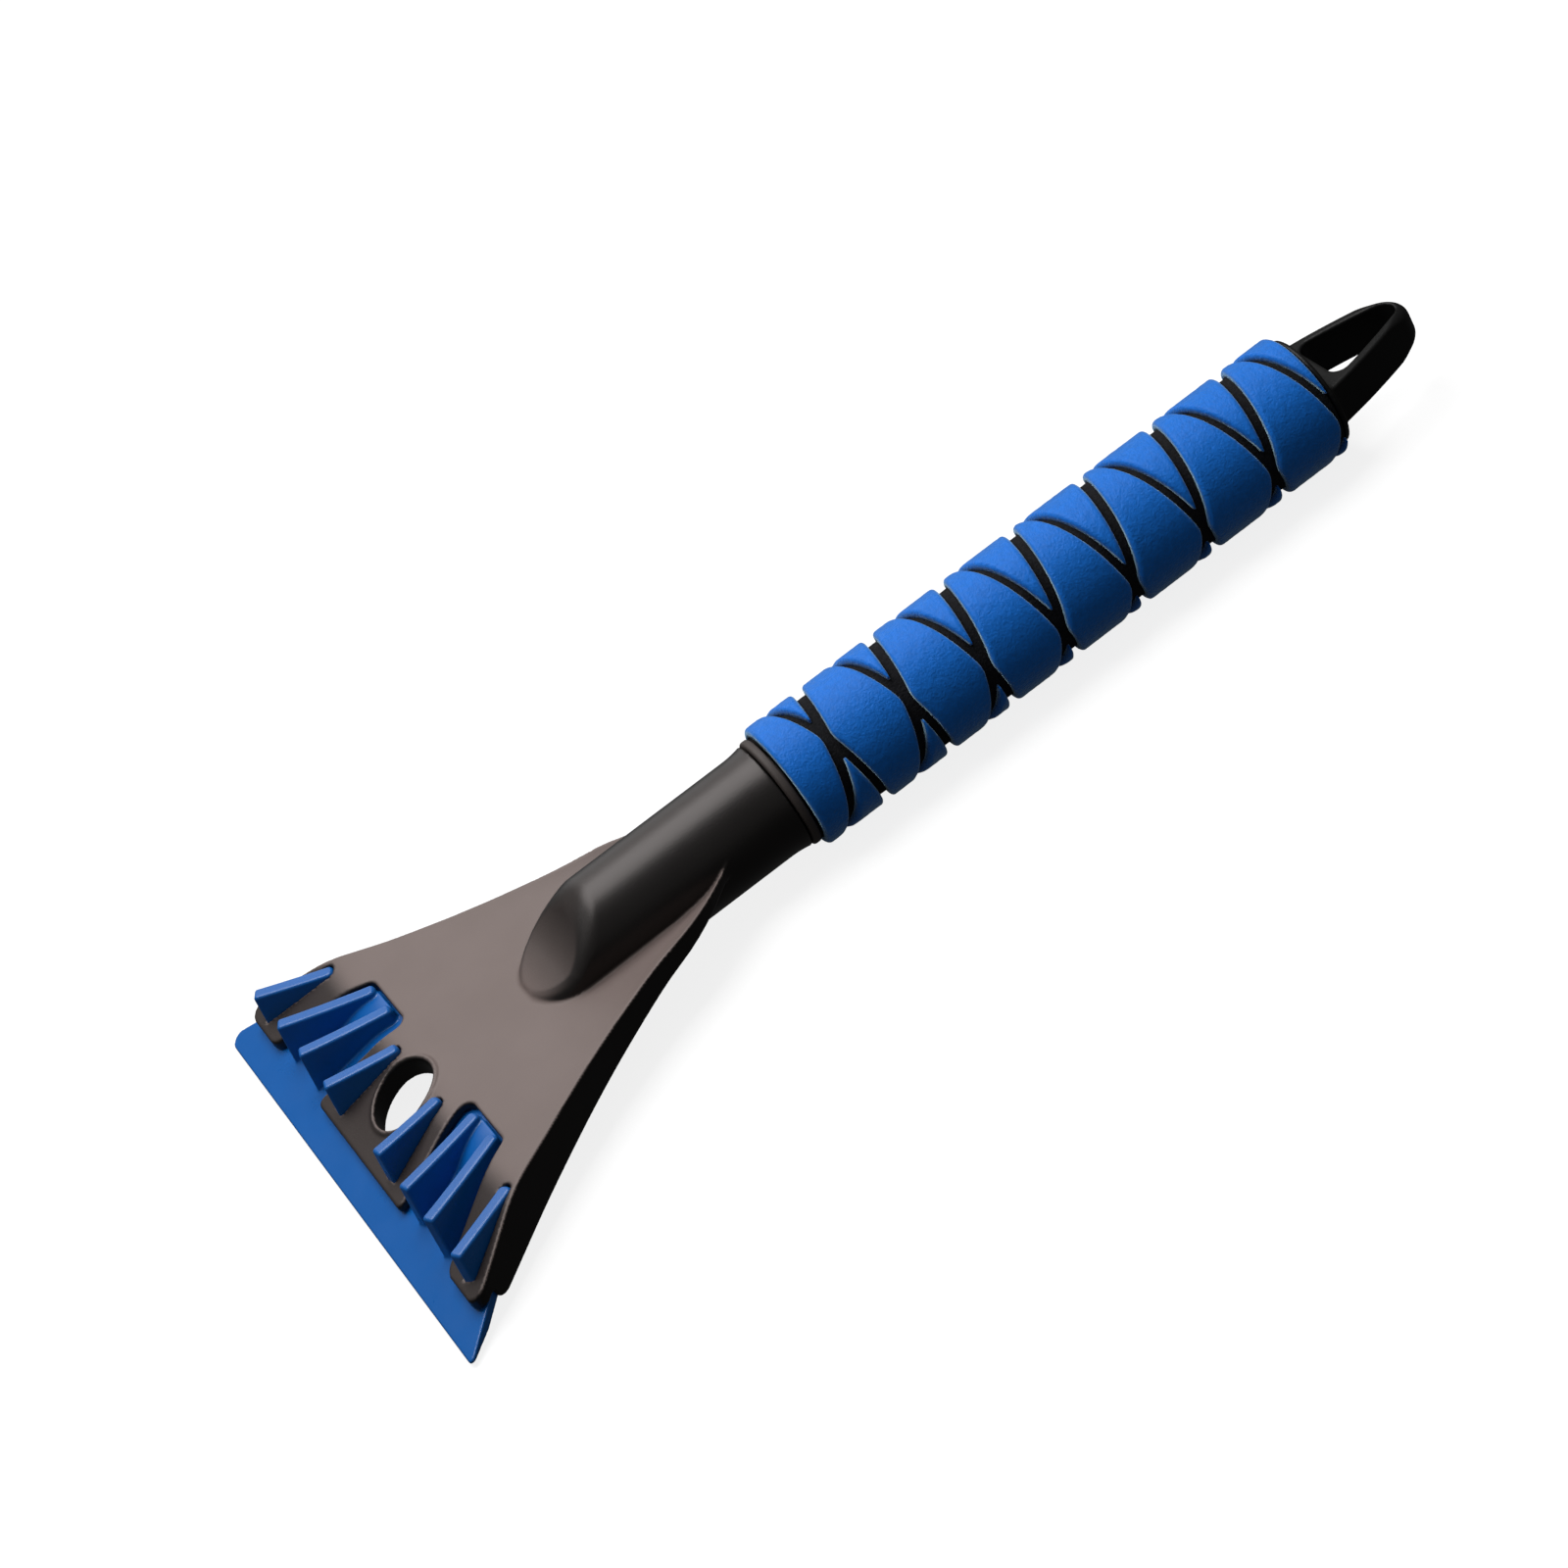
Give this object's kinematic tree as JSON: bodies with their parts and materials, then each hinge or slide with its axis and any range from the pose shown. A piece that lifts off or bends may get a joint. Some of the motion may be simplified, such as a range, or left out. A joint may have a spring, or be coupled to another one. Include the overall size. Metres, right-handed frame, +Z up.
{
  "type": "windshield ice scraper",
  "caption": "Hand-held windshield ice scraper: flared head with a straight blade and raised ice-breaking teeth, a spiral-grooved foam grip on a round handle, and a hanging loop.",
  "frame": {"origin": "bottom centre of the whole object's box, on the surface that the grip lies on", "axes": "+Y along the handle from the blade to the hanging loop, +X across the blade's width, +Z up, on the side where the teeth stand"},
  "size_m": [0.1312, 0.2774, 0.0284],
  "materials": {
    "head_plastic": "satin, finely textured",
    "blade_plastic": "smooth, slightly see-through look",
    "collar_plastic": "satin",
    "tube_plastic": "plain, hidden",
    "core_foam": "ground foam, dead matt",
    "grip_foam": "soft foam skin, fine grain",
    "cap_plastic": "satin"
  },
  "bodies": {
    "root": {"scraper_head": "head_plastic", "ice_blade": "blade_plastic", "collar_ring": "collar_plastic", "handle_tube": "tube_plastic", "foam_core": "core_foam", "grip_patch_01": "grip_foam", "grip_patch_02": "grip_foam", "grip_patch_03": "grip_foam", "grip_patch_04": "grip_foam", "grip_patch_05": "grip_foam", "grip_patch_06": "grip_foam", "grip_patch_07": "grip_foam", "grip_patch_08": "grip_foam", "grip_patch_09": "grip_foam", "grip_patch_10": "grip_foam", "grip_patch_11": "grip_foam", "grip_patch_12": "grip_foam", "grip_patch_13": "grip_foam", "grip_patch_14": "grip_foam", "grip_patch_15": "grip_foam", "grip_patch_16": "grip_foam", "end_cap": "cap_plastic"}
  },
  "joints": []
}
